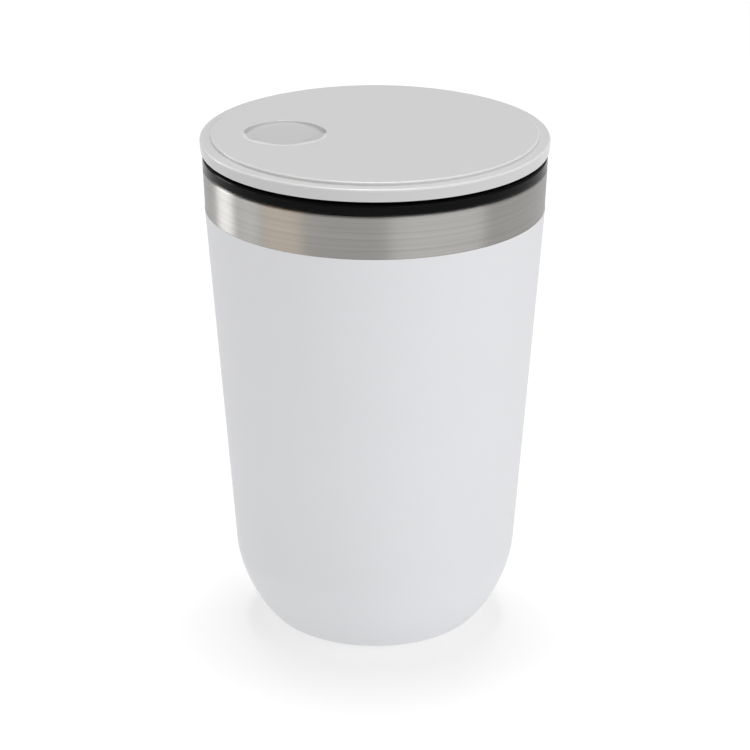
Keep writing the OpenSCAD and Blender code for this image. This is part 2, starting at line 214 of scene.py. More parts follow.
class Skin:
    """A procedural material round one Principled shader."""

    def __init__(self, name, **constants):
        self.material = bpy.data.materials.new(name)
        self.material.use_nodes = True
        self.tree = self.material.node_tree
        self.shader = next(n for n in self.tree.nodes if n.type == "BSDF_PRINCIPLED")
        for key, value in constants.items():
            self.shader.inputs[key.replace("_", " ")].default_value = value
        self.place = self.node("TexCoord", out="Object")

    def node(self, kind, settings=None, sockets=None, out=0):
        made = self.tree.nodes.new("ShaderNode" + kind)
        for key, value in (settings or {}).items():
            if key == "stops":
                ramp = made.color_ramp
                while len(ramp.elements) < len(value):
                    ramp.elements.new(0.5)
                for stop, (position, grey) in zip(ramp.elements, value):
                    stop.position = position
                    stop.color = (grey, grey, grey, 1.0)
            else:
                setattr(made, key, value)
        for key, value in (sockets or {}).items():
            if isinstance(value, Signal):
                self.tree.links.new(value.socket, made.inputs[key])
            else:
                made.inputs[key].default_value = value
        return Signal(self, made.outputs[out])

    def feed(self, key, value):
        self.tree.links.new(value.socket, self.shader.inputs[key])

    def finish(self, colour, roughness, normal):
        """Feeds the shader and gives the material."""
        self.feed("Base Color", colour)
        self.feed("Roughness", roughness.clamp())
        self.feed("Normal", normal)
        return self.material

    def vector(self, operation, first, second):
        return self.node("VectorMath", {"operation": operation}, {0: first, 1: second})

    def stretch(self, x, y, z):
        """Object coordinates scaled on each axis."""
        return self.vector("MULTIPLY", self.place, (x, y, z))

    def radius(self, place=None):
        """Distance from the upright axis."""
        flat = self.vector("MULTIPLY", place or self.place, (1.0, 1.0, 0.0))
        return self.node("VectorMath", {"operation": "LENGTH"}, {0: flat}, out="Value")

    def along(self, axis, place=None):
        """One coordinate of the place: 0, 1 or 2 for X, Y or Z."""
        return self.node("SeparateXYZ", None, {0: place or self.place}, out=axis)

    def height(self):
        return self.along(2)

    def cells(self, scale):
        return self.node("TexVoronoi", {"feature": "F1"}, {"Vector": self.place, "Scale": scale})

    def specks(self, noise, start, end):
        """Noise cut down to the specks above start."""
        stops = {"stops": [(start, 0.0), (end, 1.0)]}
        return self.node("ValToRGB", stops, {0: noise}, out="Color")

    def noise(self, vector, scale=1.0, detail=3.0, rough=0.55):
        sockets = {"Vector": vector, "Scale": scale, "Detail": detail, "Roughness": rough}
        return self.node("TexNoise", {"noise_dimensions": "3D"}, sockets)

    def band(self, value, start, end):
        """0 below start, 1 above end, smooth between."""
        sockets = {"Value": value, "From Min": start, "From Max": end}
        return self.node("MapRange", {"interpolation_type": "SMOOTHSTEP"}, sockets)

    def ridge(self, value, centre, width):
        """1 at the centre, 0 a width away on each side."""
        return self.band(value, centre - width, centre) * self.band(value, centre + width, centre)

    def blend(self, factor, first, second):
        """Mixes two colours."""
        first, second = (c if isinstance(c, Signal) else (*c, 1.0) for c in (first, second))
        settings = {"data_type": "RGBA", "clamp_factor": True}
        return self.node("Mix", settings, {0: factor, 6: first, 7: second}, out=2)

    def bump(self, height, strength, depth, under=None):
        sockets = {"Height": height, "Strength": strength, "Distance": depth}
        if under is not None:
            sockets["Normal"] = under
        return self.node("Bump", None, sockets)


def shade(base, factor):
    """A colour made lighter or darker."""
    return tuple(min(1.0, c * factor) for c in base)


def brushed_steel(name, base, fine, coarse, rough, stretch_look):
    """Steel brushed round the axis: fine lines that follow the circle."""
    skin = Skin(name, Metallic=1.0, Anisotropic=stretch_look, Anisotropic_Rotation=0.25)
    radius = skin.radius()
    height = skin.height()
    lines = skin.node("CombineXYZ", None, {0: radius * fine, 1: 0.0, 2: height * fine})
    hair = skin.noise(skin.vector("ADD", lines, skin.stretch(18.0, 18.0, 0.0)), 1.0, 4.0, 0.65)
    wide = skin.noise(skin.stretch(9.0, 9.0, coarse), 1.0, 3.0, 0.5)
    smudge = skin.noise(skin.stretch(45.0, 45.0, 45.0), 1.0, 2.0, 0.5)
    tone = (hair * 0.6 + wide * 0.4).clamp()
    return skin.finish(
        skin.blend(tone, shade(base, 0.60), shade(base, 1.40)),
        hair * 0.10 + smudge * 0.08 + (rough - 0.09),
        skin.bump(tone, 0.22, 0.03 * MM),
    )


def powder_white(base):
    """Matte white powder coat: soft orange peel, fine grain, a little wear at the foot."""
    skin = Skin("powder_white", Specular_IOR_Level=0.42, Coat_Roughness=0.35)
    peel = skin.noise(skin.place, 620.0, 2.0, 0.5)
    grain = skin.noise(skin.place, 3600.0, 2.0, 0.6)
    cloud = skin.noise(skin.place, 38.0, 3.0, 0.5)
    foot = 1.0 - skin.band(skin.height(), 0.6 * MM, 3.5 * MM)
    scrapes = skin.noise(skin.stretch(700.0, 700.0, 2200.0))
    scuff = (foot * skin.specks(scrapes, 0.46, 0.62)).clamp()
    tone = skin.blend(cloud, shade(base, 0.985), shade(base, 1.012))
    tone = skin.blend(grain * 0.10, tone, shade(base, 0.94))
    skin.feed("Coat Weight", (0.10 - scuff * 0.10).clamp())
    return skin.finish(
        skin.blend(scuff * 0.28, tone, (0.52, 0.51, 0.50)),
        0.46 + cloud * 0.05 + grain * 0.06 + scuff * 0.12,
        skin.bump(peel, 0.16, 0.05 * MM, skin.bump(grain, 0.10, 0.02 * MM)),
    )


def gloss_black(base):
    """Glossy black moulding with a soft waviness and faint wiping marks."""
    skin = Skin("gloss_black", Specular_IOR_Level=0.06)
    wave = skin.noise(skin.place, 90.0, 2.0, 0.5)
    wipe = skin.noise(skin.stretch(160.0, 160.0, 1500.0), 1.0, 4.0, 0.6)
    dust = skin.specks(skin.noise(skin.place, 2600.0, 1.0, 0.5), 0.66, 0.74)
    return skin.finish(
        skin.blend(dust * 0.12, base, (0.06, 0.06, 0.06)),
        0.11 + wipe * 0.10 + dust * 0.10,
        skin.bump(wave, 0.12, 0.06 * MM),
    )


def moulded(name, base, rough, grain_size, depth, lid=None):
    """Moulded plastic with a fine grain and slight clouding.

    The lid gets painted highlights on its edges and the dish's front ramp, and painted shade in its
    duller dish.
    """
    skin = Skin(name, Specular_IOR_Level=0.5, Coat_Roughness=0.16)
    grain = skin.noise(skin.place, grain_size, 3.0, 0.6)
    cloud = skin.noise(skin.place, 30.0, 3.0, 0.5)
    tone = skin.blend(cloud, shade(base, 0.985), shade(base, 1.015))
    tone = skin.blend(grain * 0.16, tone, shade(base, 0.9))
    if lid is not None:
        crown, edge = top("lid_cover"), reach("lid_cover")
        height, radius = skin.height(), skin.radius()

        def sunk(start, end):
            """0 above a depth under the crown, 1 below another."""
            return skin.band(height, crown - start * MM, crown - end * MM)

        # Patchy noise that breaks up the painted highlights.
        highlight_breakup = 0.6 + skin.noise(skin.stretch(900.0, 900.0, 900.0)) * 0.8
        # Painted highlights on the plateau's edge and on the cover's outer edge.
        edge_highlight = skin.ridge(radius, lid.plateau - 0.15 * MM, 0.3 * MM)
        edge_highlight = edge_highlight + skin.ridge(radius, edge - 0.25 * MM, 0.35 * MM) * sunk(1.7, 1.3)
        offset = skin.vector("ADD", skin.place, (lid.dish_away, lid.dish_front, -crown))
        away, back = skin.radius(offset), skin.along(1, offset)
        # Painted shade in the sunk dish: a darker colour; the same mask makes it duller and takes
        # its coat away.
        near = skin.band(away, lid.ramp, lid.ramp - 0.2 * MM)
        near = near * (sunk(0.9, 1.4) + skin.band(back, -6.4 * MM, -4.4 * MM)).clamp()
        dish_shade_and_matte = (sunk(0.1, 0.25) * near).clamp()
        # Painted highlight on the dish's front ramp.
        ramp = sunk(0.02, 0.12) * skin.band(away, lid.ramp, lid.ramp - 0.3 * MM)
        ramp = ramp * skin.band(back, 0.0, -3.0 * MM)
        # The painted highlights lighten the colour; the dish's painted shade darkens it.
        tone = skin.blend((edge_highlight * highlight_breakup * 0.9).clamp(), tone, shade(base, 1.22))
        tone = skin.blend((ramp * highlight_breakup).clamp(), tone, shade(base, 1.24))
        tone = skin.blend(dish_shade_and_matte, tone, shade(base, 0.80))
        skin.feed("Coat Weight", (0.35 - dish_shade_and_matte * 0.35).clamp())
        rough = dish_shade_and_matte * 0.2 + rough
    return skin.finish(
        tone,
        rough - 0.05 + grain * 0.10 + cloud * 0.03,
        skin.bump(grain, 0.18, depth, skin.bump(skin.cells(grain_size * 0.6), 0.10, depth)),
    )


def silicone(name, base):
    """Soft matte silicone with a bloom of fine dust."""
    skin = Skin(name, Specular_IOR_Level=0.35, Subsurface_Weight=0.15, Subsurface_Scale=1.0 * MM)
    bloom = skin.noise(skin.place, 240.0, 4.0, 0.6)
    grain = skin.noise(skin.place, 4200.0, 2.0, 0.5)
    dust = skin.specks(skin.noise(skin.place, 1900.0, 1.0, 0.5), 0.64, 0.72)
    tone = skin.blend(bloom, shade(base, 0.93), shade(base, 1.06))
    return skin.finish(
        skin.blend(dust * 0.3, tone, shade(base, 1.35)),
        0.52 + bloom * 0.14,
        skin.bump(grain, 0.20, 0.02 * MM),
    )


def pressed_powder():
    """Dark grey pressed getter powder."""
    skin = Skin("pressed_powder", Specular_IOR_Level=0.2)
    lumps = skin.cells(2600.0)
    grain = skin.noise(skin.place, 5200.0, 3.0, 0.6)
    return skin.finish(
        skin.blend(lumps, (0.10, 0.10, 0.105), (0.24, 0.24, 0.25)),
        0.78 + grain * 0.15,
        skin.bump(lumps + grain * 0.5, 0.5, 0.06 * MM),
    )


def solder_glass():
    """Dark glassy bead with small bubbles."""
    skin = Skin("solder_glass", Specular_IOR_Level=0.6, IOR=1.6)
    swirl = skin.noise(skin.place, 900.0, 3.0, 0.5)
    return skin.finish(
        skin.blend(swirl, (0.045, 0.03, 0.02), (0.13, 0.09, 0.06)),
        0.08 + swirl * 0.12,
        skin.bump(skin.cells(3000.0), 0.25, 0.03 * MM),
    )


SKINS = {}


def skin_of(slot):
    """The finish of one of the record's material slots, made once."""
    look = bpy.context.scene.tumbler_finishes
    lid = bpy.context.scene.tumbler_lid
    black = (0.022, 0.022, 0.023)
    makers = {
        "brushed_steel": lambda: brushed_steel(
            "brushed_steel", look.steel, 6500.0, 1500.0, 0.40, 1.0
        ),
        "liner_steel": lambda: brushed_steel(
            "satin_steel", look.inside_steel, 5200.0, 900.0, 0.36, 0.6
        ),
        "fastener_steel": lambda: brushed_steel(
            "fastener_steel", shade(look.inside_steel, 0.95), 7000.0, 2500.0, 0.3, 0.2
        ),
        "powder_coat": lambda: powder_white(look.coat),
        "gloss_black": lambda: gloss_black(look.collar),
        "cover_grey": lambda: moulded("satin_grey", look.cover, 0.36, 3000.0, 0.012 * MM, lid),
        "satin_black": lambda: moulded("satin_black", black, 0.46, 2600.0, 0.03 * MM),
        "washer_plastic": lambda: moulded("natural_acetal", look.acetal, 0.38, 2400.0, 0.02 * MM),
        "seal_silicone": lambda: silicone("seal_silicone", look.silicone),
        "foot_silicone": lambda: silicone("foot_silicone", shade(look.silicone, 0.8)),
        "getter": pressed_powder,
        "seal_glass": solder_glass,
    }
    if slot not in SKINS:
        SKINS[slot] = makers[slot]()
    return SKINS[slot]


# ---------------------------------------------------------------- modelling


def outline(bm, corners, closed=True, arcs=None):
    """Draws (radius, height) or (radius, height, rounding) corners as a wire in the XZ plane.

    Each rounding has a step for about every 4 degrees, or the given number of arcs.
    """
    wire = [bm.verts.new((radius, 0.0, height)) for radius, height, *_ in corners]
    for first, second in zip(wire, wire[1:] + (wire[:1] if closed else [])):
        bm.edges.new((first, second))
    roundings = [corner[2] if len(corner) > 2 else 0.0 for corner in corners]
    for vert, rounding in zip(wire, roundings):
        if rounding <= 0.0:
            continue
        arms = [edge.other_vert(vert).co - vert.co for edge in vert.link_edges]
        if len(arms) < 2:
            raise ValueError(f"the outline's end at {tuple(vert.co)} can't be rounded")
        half = arms[0].angle(arms[1]) / 2
        bend = math.degrees(math.pi - 2 * half)
        bmesh.ops.bevel(
            bm, geom=[vert], offset=rounding / math.tan(half), offset_type="OFFSET",
            affect="VERTICES", segments=arcs or max(4, round(bend / 4)), profile=0.5,
            material=-1, clamp_overlap=False,
        )
    bmesh.ops.remove_doubles(bm, verts=bm.verts[:], dist=WELD)


def turned(corners, closed=True, steps=None, centre=(0.0, 0.0), arcs=None):
    """A bmesh of the outline turned once round an upright axis."""
    steps = steps or bpy.context.scene.tumbler_lid.turns
    bm = bmesh.new()
    outline(bm, corners, closed, arcs)
    bmesh.ops.spin(
        bm, geom=bm.verts[:] + bm.edges[:], cent=(0, 0, 0), axis=(0, 0, 1), dvec=(0, 0, 0),
        angle=math.tau, steps=steps, use_merge=True, use_duplicate=False,
    )
    bmesh.ops.remove_doubles(bm, verts=bm.verts[:], dist=WELD)
    bmesh.ops.recalc_face_normals(bm, faces=bm.faces[:])
    bmesh.ops.translate(bm, vec=(centre[0], centre[1], 0.0), verts=bm.verts[:])
    return bm


def above(height, *corners):
    """Corners in millimetres, with their heights counted up from the given height."""
    return [(r * MM, height + z * MM, *(c * MM for c in rounding)) for r, z, *rounding in corners]


def tube(inner, outer, foot, head, *roundings):
    """Corners of a tube or a disc; its four roundings are in millimetres, inside foot first."""
    places = ((inner, foot), (outer, foot), (outer, head), (inner, head))
    return [(*place, rounding * MM) for place, rounding in zip(places, roundings)]


def rounded(corners, arcs):
    """The rounded outline's points as (radius, height), in order from the axis out."""
    bm = bmesh.new()
    outline(bm, corners, False, arcs)
    walk = [next(v for v in bm.verts if len(v.link_edges) == 1 and v.co.x < 0.001 * MM)]
    while len(walk) < len(bm.verts):
        steps = [edge.other_vert(walk[-1]) for edge in walk[-1].link_edges]
        walk.append(next(vert for vert in steps if vert not in walk))
    points = [Vector((vert.co.x, vert.co.z)) for vert in walk]
    bm.free()
    return points


def ease(share):
    """0 to 1 with soft ends."""
    share = max(0.0, min(1.0, share))
    return share * share * (3 - 2 * share)


def ring_of(bm, height, radius, middle):
    """The open edge's vertices on a circle at a height, in order round its middle."""
    middle = Vector(middle)
    ring = [
        vert for vert in bm.verts
        if vert.is_boundary
        and abs(vert.co.z - height) < 0.01 * MM
        and abs((vert.co.xy - middle).length - radius) < 0.05 * MM
    ]
    around = {vert: math.atan2(*(vert.co.xy - middle).yx) % math.tau for vert in ring}
    start = math.tau - 0.001
    return sorted(ring, key=lambda vert: 0.0 if around[vert] > start else around[vert])


def mesh_of(bm, name):
    """Turns a bmesh into a mesh and frees it."""
    mesh = bpy.data.meshes.new(name)
    bm.to_mesh(mesh)
    bm.free()
    return mesh


def placed(name, bm):
    """Puts a bmesh in the scene as an object."""
    made = bpy.data.objects.new(name, mesh_of(bm, name))
    bpy.context.scene.collection.objects.link(made)
    return made


def finished(name, bm, body, node, slot):
    """Makes a piece of a bmesh, with its creases, its finish, its body and its CAD node."""
    for edge in bm.edges:
        if len(edge.link_faces) == 2:
            edge.smooth = edge.calc_face_angle(0.0) < CREASE
    for face in bm.faces:
        face.smooth = True
    piece = placed(name, bm)
    piece.data.materials.append(skin_of(slot))
    even = piece.modifiers.new("even_normals", "WEIGHTED_NORMAL")
    even.keep_sharp = True
    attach(piece, body)
    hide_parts(node)


def join_into(bm, other):
    """Adds another bmesh to this one."""
    mesh = mesh_of(other, "part")
    bm.from_mesh(mesh)
    bpy.data.meshes.remove(mesh)


def block(low_corner, high_corner, rounding):
    """A box with rounded edges, as a bmesh."""
    bm = bmesh.new()
    size = Vector(high_corner) - Vector(low_corner)
    centre = (Vector(high_corner) + Vector(low_corner)) / 2
    place = Matrix.Translation(centre) @ Matrix.Diagonal((*size, 1.0))
    bmesh.ops.create_cube(bm, size=1.0, matrix=place)
    bmesh.ops.bevel(
        bm, geom=bm.edges[:], offset=rounding, offset_type="OFFSET", affect="EDGES",
        segments=3, profile=0.5, material=-1,
    )
    return bm


def thirds():
    """The three turns of a thing that stands three times round the axis."""
    return [Matrix.Rotation(math.tau * k / 3, 3, "Z") for k in range(3)]


def hulled(bm):
    """The bmesh made its own convex hull, with nothing left inside."""
    hull = bmesh.ops.convex_hull(bm, input=bm.verts[:])
    spare = [g for g in hull["geom_interior"] if isinstance(g, bmesh.types.BMVert)]
    bmesh.ops.delete(bm, geom=spare, context="VERTS")
    kept = {g for g in hull["geom"] if isinstance(g, bmesh.types.BMFace)}
    bmesh.ops.delete(bm, geom=[f for f in bm.faces if f not in kept], context="FACES_ONLY")
    bmesh.ops.recalc_face_normals(bm, faces=bm.faces[:])
    return bm


def cut(bm, cutters):
    """Takes the cutters out of the bmesh with exact booleans."""
    base = placed("cut_base", bm)
    holders = [base]
    for cutter in cutters:
        tool = placed("cut_tool", cutter)
        modifier = base.modifiers.new("cut", "BOOLEAN")
        modifier.operation = "DIFFERENCE"
        modifier.solver = "EXACT"
        modifier.object = tool
        holders.append(tool)
    bpy.context.view_layer.update()
    result = bmesh.new()
    result.from_mesh(base.evaluated_get(bpy.context.evaluated_depsgraph_get()).to_mesh())
    for holder in holders:
        mesh = holder.data
        bpy.data.objects.remove(holder)
        bpy.data.meshes.remove(mesh)
    return result


def cup_side(radius, height, inward, big, small, flat):
    """Corners of a cup's side from the foot up; the line through (radius, height) moves inward."""
    size = bpy.context.scene.tumbler_cup
    slope = math.tan(size.taper)
    top_radius = radius - inward / math.cos(size.taper)
    quarter = math.radians(45)
    small_z = flat + small
    big_z = small_z + (big - small) * math.sin(quarter)
    big_x = top_radius - (big + (height - big_z) * math.sin(size.taper)) / math.cos(size.taper)
    small_x = big_x + (big - small) * math.cos(quarter)
    foot_corner = small_x + small * math.tan(quarter / 2)
    # The 45 degree tangent meets the taper line at the upper corner.
    touch_x = small_x + small * math.cos(quarter)
    touch_z = small_z - small * math.sin(quarter)
    rise = (top_radius - (height - touch_z) * slope - touch_x) / (1 - slope)
    upper_corner = (touch_x + rise, touch_z + rise, big)
    return [(foot_corner, flat, small), upper_corner, (top_radius, height, 0.0)]


class TUMBLER_OT_shell(bpy.types.Operator):
    """Steel outer shell with the brushed band, the rolled rim and the foot"""

    bl_idname = "tumbler.shell"
    bl_label = "Outer shell"

    def execute(self, context):
        size = context.scene.tumbler_cup
        coat_top = top("powder_coat")
        rim = top("outer_wall")
        foot = low("outer_wall")
        lip_foot = rim - 1.7 * MM
        edge = top("base_disc") - 0.7 * MM
        outside, within = (
            cup_side(
                size.body_top, coat_top, size.coat + sheet, size.heel_big - size.coat - sheet,
                size.heel_small - size.coat - sheet, foot + sheet,
            )
            for sheet in (0.0, size.sheet)
        )
        corners = [(size.foot_hole, foot, 0.25 * MM), *outside]
        corners += [
            (size.body_top - 0.1 * MM, coat_top + 0.01 * MM), (size.band_top, rim - size.rim_roll),
            (size.band_top, rim, size.rim_roll), (size.neck, rim, 0.9 * MM), (size.neck, lip_foot),
            (size.neck + size.liner_sheet, lip_foot),
            (size.neck + size.liner_sheet, rim - size.liner_sheet, 0.45 * MM),
            (size.band_top - size.sheet, rim - size.sheet, size.rim_roll - size.sheet),
            (size.band_top - size.sheet, rim - size.rim_roll),
            (size.body_top - 0.1 * MM - size.sheet, coat_top),
        ]
        corners += list(reversed(within))[1:]
        corners += [
            (size.foot_hole + size.sheet, foot + size.sheet, 0.15 * MM),
            (size.foot_hole + size.sheet, edge, 0.1 * MM), (size.foot_hole, edge, 0.1 * MM),
        ]
        finished("outer_shell", turned(corners), "cup", "outer_wall", "brushed_steel")
        return {"FINISHED"}


class TUMBLER_OT_coat(bpy.types.Operator):
    """White powder coat, a thin skin on the shell up to the masked edge"""

    bl_idname = "tumbler.coat"
    bl_label = "Powder coat"

    def execute(self, context):
        size = context.scene.tumbler_cup
        edge = top("powder_coat")
        foot = low("powder_coat")
        gap = 0.02 * MM
        outside = cup_side(size.body_top, edge, 0.0, size.heel_big, size.heel_small, foot)
        within = cup_side(
            size.body_top, edge, size.coat - gap, size.heel_big - size.coat + gap,
            size.heel_small - size.coat + gap, foot + size.coat - gap,
        )
        outside[-1] = (*outside[-1][:2], 0.07 * MM)
        start = size.foot_hole + 0.6 * MM
        corners = [(start, foot, 0.05 * MM), *outside, *reversed(within)]
        corners.append((start, foot + size.coat - gap))
        finished("powder_coat_skin", turned(corners), "cup", "powder_coat", "powder_coat")
        return {"FINISHED"}


class TUMBLER_OT_liner(bpy.types.Operator):
    """Steel liner with its straight neck, and the parts in the sealed space"""

    bl_idname = "tumbler.liner"
    bl_label = "Liner and sealed parts"

    def execute(self, context):
        size = context.scene.tumbler_cup
        sheet = size.liner_sheet
        floor_out = low("inner_wall")
        floor_in = floor_out + sheet
        weld = top("inner_wall")
        start = size.neck_foot - 1.5 * MM
        radius = size.body_top - size.wall / math.cos(size.taper)
        radius -= (top("powder_coat") - start) * math.tan(size.taper)
        big, small = size.heel_big - 4 * MM, size.heel_small + 2 * MM
        within = cup_side(radius, start, 0.0, big, small, floor_in)
        outside = cup_side(radius + sheet, start, 0.0, big + sheet, small + sheet, floor_out)
        within[-1] = (*within[-1][:2], 1.2 * MM)
        outside[-1] = (*outside[-1][:2], 1.2 * MM)
        corners = [(0.0, floor_in), *within]
        corners += [
            (size.neck, size.neck_foot, 1.2 * MM), (size.neck, weld), (size.neck + sheet, weld),
            (size.neck + sheet, size.neck_foot - 0.2 * MM, 1.2 * MM),
        ]
        corners += [*reversed(outside), (0.0, floor_out)]
        finished("liner", turned(corners, closed=False), "cup", "inner_wall", "liner_steel")

        edge = size.foot_hole / MM
        corners = above(
            low("base_disc"), (0.8, 1, 0.1), (2.6, 1, 0.35), (3.4, 0, 0.35), (edge, 0),
            (edge, 0.6), (4, 0.6, 0.4), (3, 1.6, 0.4), (0.8, 1.6),
        )
        finished("base_disc_plate", turned(corners, steps=128), "cup", "base_disc", "liner_steel")

        corners = above(
            low("evacuation_seal"), (0, 0), (1.5, 0.1, 0.6), (2.1, 0.7, 0.15), (0.8, 0.7),
            (0.8, 1.4, 0.2), (0, 1.4),
        )
        bead = turned(corners, False, 48)
        finished("evacuation_bead", bead, "cup", "evacuation_seal", "seal_glass")

        place = (across("getter_holder"), 0.0)
        corners = above(
            low("getter_holder"), (0, 0), (4, 0, 0.4), (4, 2.2, 0.15), (3.5, 2.2, 0.15),
            (3.5, 0.4), (0, 0.4),
        )
        pan = turned(corners, False, 64, place)
        finished("getter_pan", pan, "cup", "getter_holder", "liner_steel")
        corners = above(low("getter_pellet"), (0, 0), (3.4, 0), (3.4, 1.5, 0.3), (0, 1.5))
        finished("getter_pill", turned(corners, False, 64, place), "cup", "getter_pellet", "getter")
        return {"FINISHED"}


class TUMBLER_OT_foot(bpy.types.Operator):
    """Silicone pad under the foot, with ring grooves"""

    bl_idname = "tumbler.foot"
    bl_label = "Foot pad"

    def execute(self, context):
        outer = reach("foot_pad")
        face, back = low("foot_pad"), top("foot_pad")
        corners = [(6.4 * MM, back), (6.4 * MM, face, 0.4 * MM)]
        for ring in range(3):
            start = 9 + 2.4 * ring
            corners += above(
                face, (start, 0, 0.12), (start + 0.2, 0.4, 0.1), (start + 0.8, 0.4, 0.1),
                (start + 1, 0, 0.12),
            )
        corners += [(outer, face, 0.4 * MM), (outer, back)]
        finished("foot_ring_pad", turned(corners, steps=128), "cup", "foot_pad", "foot_silicone")
        return {"FINISHED"}


class TUMBLER_OT_plug(bpy.types.Operator):
    """Glossy black plug: collar, bowl, valve seat, ribs and slotted hub"""

    bl_idname = "tumbler.plug"
    bl_label = "Plug lid"

    def execute(self, context):
        size = context.scene.tumbler_lid
        collar = reach("lid_base")
        collar_top = top("lid_base")
        under = collar_top - 2.55 * MM
        floor = size.bowl_floor
        seat_foot = low("lid_base")
        corners = [
            (size.plug, under, 0.3 * MM), (collar, under, 0.35 * MM),
            (collar, collar_top, 0.6 * MM), (size.bowl, collar_top, 3.0 * MM),
            (size.bowl, floor + 3.6 * MM, 1.4 * MM),
            (size.bowl - 1.2 * MM, floor + 2.6 * MM, 1.4 * MM),
            (size.seat + 0.4 * MM, floor + 2 * MM, 0.3 * MM),
            (size.seat, floor + 1.6 * MM, 0.3 * MM), (size.seat, seat_foot, 0.2 * MM),
            (size.seat + 1.2 * MM, seat_foot, 0.3 * MM),
            (size.seat + 2 * MM, seat_foot + 1.2 * MM, 0.6 * MM),
            (size.seat + 2 * MM, floor, 0.3 * MM), (size.plug - 1 * MM, floor, 0.3 * MM),
            (size.plug, floor + 1 * MM, 0.4 * MM), (size.plug, floor + 8 * MM, 0.1 * MM),
            (size.plug - 1.4 * MM, floor + 8 * MM, 0.1 * MM),
            (size.plug - 1.4 * MM, floor + 12 * MM, 0.1 * MM),
            (size.plug, floor + 12 * MM, 0.1 * MM),
        ]
        plug = turned(corners)

        hub_foot, hub_top = low("thrust_washer") - 14.4 * MM, low("thrust_washer")
        corners = tube(size.hub_bore, size.hub, hub_foot, hub_top, 0.2, 0.3, 0.3, 0.2)
        hub = turned(corners, steps=96)
        pin_low, pin_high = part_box("cross_pin")
        drop = frame["joints"][2]["range_m"][1]
        width = (pin_high.x - pin_low.x) / 2 + 0.06 * MM
        slot = block(
            (-width, -size.hub - 1 * MM, pin_low.z - drop - 0.06 * MM),
            (width, size.hub + 1 * MM, pin_high.z + 0.06 * MM),
            width * 0.9,
        )
        join_into(plug, cut(hub, [slot]))
        rib_top = hub_foot + 3 * MM
        rib_end = (size.seat + 4 * MM, 1.5 * MM, rib_top)
        starts = (
            (size.hub - 0.6 * MM, -1.5 * MM, hub_foot),
            (size.seat + 0.6 * MM, -1.5 * MM, floor + 1.5 * MM),
        )
        for spin in thirds():
            for start in starts:
                rib = block(start, rib_end, 0.4 * MM)
                bmesh.ops.rotate(rib, cent=(0, 0, 0), matrix=spin, verts=rib.verts[:])
                join_into(plug, rib)
        finished("plug_lid", plug, "lid", "lid_base", "gloss_black")

        foot, lip = low("plug_seal"), reach("plug_seal")
        root = size.plug - 1.4 * MM
        face = size.plug + 0.1 * MM
        corners = [(root, foot), (face, foot, 0.2 * MM)]
        for fin in (0.5 * MM, 2.1 * MM):
            corners += [
                (face, foot + fin, 0.15 * MM), (lip, foot + fin + 1.0 * MM, 0.14 * MM),
                (lip, foot + fin + 1.3 * MM, 0.14 * MM), (face, foot + fin + 0.9 * MM, 0.15 * MM),
            ]
        corners += [(face, foot + 4 * MM, 0.2 * MM), (root, foot + 4 * MM)]
        finished("plug_lip_seal", turned(corners), "lid", "plug_seal", "seal_silicone")

        corners = tube(
            8.3 * MM, size.hub, low("thrust_washer"), top("thrust_washer"), 0.1, 0.1, 0.15, 0.15
        )
        finished("turn_washer", turned(corners, steps=96), "lid", "thrust_washer", "washer_plastic")
        return {"FINISHED"}


